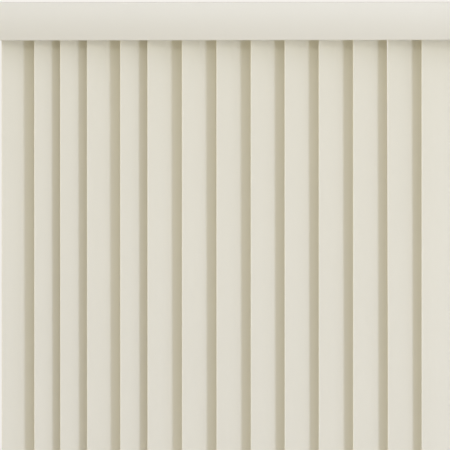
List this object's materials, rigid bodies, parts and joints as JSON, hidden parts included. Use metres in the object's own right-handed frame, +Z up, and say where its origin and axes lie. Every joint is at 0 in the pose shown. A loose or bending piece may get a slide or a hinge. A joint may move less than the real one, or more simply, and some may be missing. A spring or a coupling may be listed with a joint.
{
  "type": "vertical blind",
  "caption": "Wand-worked vertical blind: crowned cream vanes on geared carriers in a channel headrail, behind a moulded valance with side returns.",
  "frame": {"origin": "on the wall plane, in the middle of the wall bracket screw pattern", "axes": "+X along the headrail to the wand's end, -Y to the room, +Z up"},
  "size_m": [1.1684, 0.1232, 1.5257],
  "materials": {
    "vane_pvc": "satin, very fine leather-like pebble",
    "valance_pvc": "smooth satin",
    "rail_metal": "satin, coated",
    "rod_metal": "drawn, bare",
    "bracket_steel": "white coated",
    "clip_steel": "spring temper",
    "bolt_steel": "bright plated",
    "hanger_plastic": "moulded, slightly milky",
    "carrier_plastic": "moulded acetal",
    "cap_plastic": "moulded",
    "clear_plastic": "clear moulded clip",
    "wand_plastic": "glossy"
  },
  "bodies": {
    "root": {"headrail": "rail_metal", "end_cap_left": "cap_plastic", "end_cap_right": "cap_plastic", "wall_brackets": "bracket_steel", "headrail_clips": "clip_steel", "clip_bolts": "bolt_steel", "valance_front": "valance_pvc", "valance_return_left": "valance_pvc", "valance_return_right": "valance_pvc", "valance_corner_left": "valance_pvc", "valance_corner_right": "valance_pvc", "valance_clips": "clear_plastic", "carrier_01": "carrier_plastic"},
    "tilt_rod": {"tilt_rod": "rod_metal"},
    "wand_carrier": {"wand_carrier": "carrier_plastic"},
    "rod_gear": {"rod_gear": "carrier_plastic"},
    "wand_spindle": {"wand_spindle": "carrier_plastic"},
    "wand": {"wand_hook": "wand_plastic", "wand": "wand_plastic"},
    "vane_01": {"hanger_01": "hanger_plastic", "vane_01": "vane_pvc"},
    "vane_02": {"hanger_02": "hanger_plastic", "vane_02": "vane_pvc"},
    "carrier_02": {"carrier_02": "carrier_plastic"},
    "vane_03": {"hanger_03": "hanger_plastic", "vane_03": "vane_pvc"},
    "carrier_03": {"carrier_03": "carrier_plastic"},
    "vane_04": {"hanger_04": "hanger_plastic", "vane_04": "vane_pvc"},
    "carrier_04": {"carrier_04": "carrier_plastic"},
    "vane_05": {"hanger_05": "hanger_plastic", "vane_05": "vane_pvc"},
    "carrier_05": {"carrier_05": "carrier_plastic"},
    "vane_06": {"hanger_06": "hanger_plastic", "vane_06": "vane_pvc"},
    "carrier_06": {"carrier_06": "carrier_plastic"},
    "vane_07": {"hanger_07": "hanger_plastic", "vane_07": "vane_pvc"},
    "carrier_07": {"carrier_07": "carrier_plastic"},
    "vane_08": {"hanger_08": "hanger_plastic", "vane_08": "vane_pvc"},
    "carrier_08": {"carrier_08": "carrier_plastic"},
    "vane_09": {"hanger_09": "hanger_plastic", "vane_09": "vane_pvc"},
    "carrier_09": {"carrier_09": "carrier_plastic"},
    "vane_10": {"hanger_10": "hanger_plastic", "vane_10": "vane_pvc"},
    "carrier_10": {"carrier_10": "carrier_plastic"},
    "vane_11": {"hanger_11": "hanger_plastic", "vane_11": "vane_pvc"},
    "carrier_11": {"carrier_11": "carrier_plastic"},
    "vane_12": {"hanger_12": "hanger_plastic", "vane_12": "vane_pvc"},
    "carrier_12": {"carrier_12": "carrier_plastic"},
    "vane_13": {"hanger_13": "hanger_plastic", "vane_13": "vane_pvc"},
    "carrier_13": {"carrier_13": "carrier_plastic"},
    "vane_14": {"hanger_14": "hanger_plastic", "vane_14": "vane_pvc"},
    "carrier_14": {"carrier_14": "carrier_plastic"}
  },
  "joints": [
    {"name": "wand_traverse", "type": "slide", "parent": "root", "child": "wand_carrier", "axis": [1, 0, 0], "range_m": [-0.8125, 0]},
    {"name": "tilt_01", "type": "hinge", "parent": "root", "child": "vane_01", "pos_m": [-0.484, -0.065, -0.0106], "axis": [0, 0, 1], "range_deg": [-14, 146]},
    {"name": "traverse_02", "type": "slide", "parent": "root", "child": "carrier_02", "axis": [1, 0, 0], "range_m": [-0.0635, 0.001]},
    {"name": "tilt_02", "type": "hinge", "parent": "carrier_02", "child": "vane_02", "pos_m": [-0.4085, -0.065, -0.0106], "axis": [0, 0, 1], "range_deg": [-15, 147]},
    {"name": "traverse_03", "type": "slide", "parent": "root", "child": "carrier_03", "axis": [1, 0, 0], "range_m": [-0.111, 0.001]},
    {"name": "tilt_03", "type": "hinge", "parent": "carrier_03", "child": "vane_03", "pos_m": [-0.348, -0.065, -0.0106], "axis": [0, 0, 1], "range_deg": [-15, 147]},
    {"name": "traverse_04", "type": "slide", "parent": "root", "child": "carrier_04", "axis": [1, 0, 0], "range_m": [-0.1605, 0.001]},
    {"name": "tilt_04", "type": "hinge", "parent": "carrier_04", "child": "vane_04", "pos_m": [-0.2855, -0.065, -0.0106], "axis": [0, 0, 1], "range_deg": [-15, 147]},
    {"name": "traverse_05", "type": "slide", "parent": "root", "child": "carrier_05", "axis": [1, 0, 0], "range_m": [-0.225, 0.001]},
    {"name": "tilt_05", "type": "hinge", "parent": "carrier_05", "child": "vane_05", "pos_m": [-0.208, -0.065, -0.0106], "axis": [0, 0, 1], "range_deg": [-15, 147]},
    {"name": "traverse_06", "type": "slide", "parent": "root", "child": "carrier_06", "axis": [1, 0, 0], "range_m": [-0.2755, 0.001]},
    {"name": "tilt_06", "type": "hinge", "parent": "carrier_06", "child": "vane_06", "pos_m": [-0.1445, -0.065, -0.0106], "axis": [0, 0, 1], "range_deg": [-15, 147]},
    {"name": "traverse_07", "type": "slide", "parent": "root", "child": "carrier_07", "axis": [1, 0, 0], "range_m": [-0.343, 0.001]},
    {"name": "tilt_07", "type": "hinge", "parent": "carrier_07", "child": "vane_07", "pos_m": [-0.064, -0.065, -0.0106], "axis": [0, 0, 1], "range_deg": [-15, 147]},
    {"name": "traverse_08", "type": "slide", "parent": "root", "child": "carrier_08", "axis": [1, 0, 0], "range_m": [-0.4105, 0.001]},
    {"name": "tilt_08", "type": "hinge", "parent": "carrier_08", "child": "vane_08", "pos_m": [0.0165, -0.065, -0.0106], "axis": [0, 0, 1], "range_deg": [-15, 147]},
    {"name": "traverse_09", "type": "slide", "parent": "root", "child": "carrier_09", "axis": [1, 0, 0], "range_m": [-0.4775, 0.001]},
    {"name": "tilt_09", "type": "hinge", "parent": "carrier_09", "child": "vane_09", "pos_m": [0.0965, -0.065, -0.0106], "axis": [0, 0, 1], "range_deg": [-15, 147]},
    {"name": "traverse_10", "type": "slide", "parent": "root", "child": "carrier_10", "axis": [1, 0, 0], "range_m": [-0.5435, 0.001]},
    {"name": "tilt_10", "type": "hinge", "parent": "carrier_10", "child": "vane_10", "pos_m": [0.1755, -0.065, -0.0106], "axis": [0, 0, 1], "range_deg": [-15, 147]},
    {"name": "traverse_11", "type": "slide", "parent": "root", "child": "carrier_11", "axis": [1, 0, 0], "range_m": [-0.61, 0.001]},
    {"name": "tilt_11", "type": "hinge", "parent": "carrier_11", "child": "vane_11", "pos_m": [0.255, -0.065, -0.0106], "axis": [0, 0, 1], "range_deg": [-15, 147]},
    {"name": "traverse_12", "type": "slide", "parent": "root", "child": "carrier_12", "axis": [1, 0, 0], "range_m": [-0.677, 0.001]},
    {"name": "tilt_12", "type": "hinge", "parent": "carrier_12", "child": "vane_12", "pos_m": [0.335, -0.065, -0.0106], "axis": [0, 0, 1], "range_deg": [-15, 147]},
    {"name": "traverse_13", "type": "slide", "parent": "root", "child": "carrier_13", "axis": [1, 0, 0], "range_m": [-0.745, 0.001]},
    {"name": "tilt_13", "type": "hinge", "parent": "carrier_13", "child": "vane_13", "pos_m": [0.416, -0.065, -0.0106], "axis": [0, 0, 1], "range_deg": [-15, 147]},
    {"name": "traverse_14", "type": "slide", "parent": "root", "child": "carrier_14", "axis": [1, 0, 0], "range_m": [-0.811, 0.001]},
    {"name": "tilt_14", "type": "hinge", "parent": "carrier_14", "child": "vane_14", "pos_m": [0.495, -0.065, -0.0106], "axis": [0, 0, 1], "range_deg": [-15, 147]},
    {"name": "rod_turn", "type": "hinge", "parent": "root", "child": "tilt_rod", "pos_m": [0, -0.055, -0.0016], "axis": [1, 0, 0], "range_deg": [-75, 735]},
    {"name": "gear_slide", "type": "slide", "parent": "tilt_rod", "child": "rod_gear", "axis": [1, 0, 0], "range_m": [-0.8135, 0.001]},
    {"name": "wand_twist", "type": "hinge", "parent": "wand_carrier", "child": "wand_spindle", "pos_m": [0.5495, -0.065, -0.0106], "axis": [0, 0, 1], "range_deg": [-75, 735]},
    {"name": "wand_swing", "type": "hinge", "parent": "wand_spindle", "child": "wand", "pos_m": [0.5495, -0.065, -0.0216], "axis": [1, 0, 0], "range_deg": [-30, 3]}
  ],
  "couplings": [
    {"joint": "traverse_02", "follows": "wand_traverse", "ratio": 0.076923},
    {"joint": "tilt_02", "follows": "tilt_01", "ratio": 1},
    {"joint": "traverse_03", "follows": "wand_traverse", "ratio": 0.13539},
    {"joint": "tilt_03", "follows": "tilt_01", "ratio": 1},
    {"joint": "traverse_04", "follows": "wand_traverse", "ratio": 0.19631},
    {"joint": "tilt_04", "follows": "tilt_01", "ratio": 1},
    {"joint": "traverse_05", "follows": "wand_traverse", "ratio": 0.27569},
    {"joint": "tilt_05", "follows": "tilt_01", "ratio": 1},
    {"joint": "traverse_06", "follows": "wand_traverse", "ratio": 0.33785},
    {"joint": "tilt_06", "follows": "tilt_01", "ratio": 1},
    {"joint": "traverse_07", "follows": "wand_traverse", "ratio": 0.42092},
    {"joint": "tilt_07", "follows": "tilt_01", "ratio": 1},
    {"joint": "traverse_08", "follows": "wand_traverse", "ratio": 0.504},
    {"joint": "tilt_08", "follows": "tilt_01", "ratio": 1},
    {"joint": "traverse_09", "follows": "wand_traverse", "ratio": 0.58646},
    {"joint": "tilt_09", "follows": "tilt_01", "ratio": 1},
    {"joint": "traverse_10", "follows": "wand_traverse", "ratio": 0.66769},
    {"joint": "tilt_10", "follows": "tilt_01", "ratio": 1},
    {"joint": "traverse_11", "follows": "wand_traverse", "ratio": 0.74954},
    {"joint": "tilt_11", "follows": "tilt_01", "ratio": 1},
    {"joint": "traverse_12", "follows": "wand_traverse", "ratio": 0.832},
    {"joint": "tilt_12", "follows": "tilt_01", "ratio": 1},
    {"joint": "traverse_13", "follows": "wand_traverse", "ratio": 0.91569},
    {"joint": "tilt_13", "follows": "tilt_01", "ratio": 1},
    {"joint": "traverse_14", "follows": "wand_traverse", "ratio": 0.99692},
    {"joint": "tilt_14", "follows": "tilt_01", "ratio": 1},
    {"joint": "rod_turn", "follows": "tilt_01", "ratio": 5},
    {"joint": "wand_twist", "follows": "tilt_01", "ratio": 5},
    {"joint": "gear_slide", "follows": "wand_traverse", "ratio": 1}
  ]
}
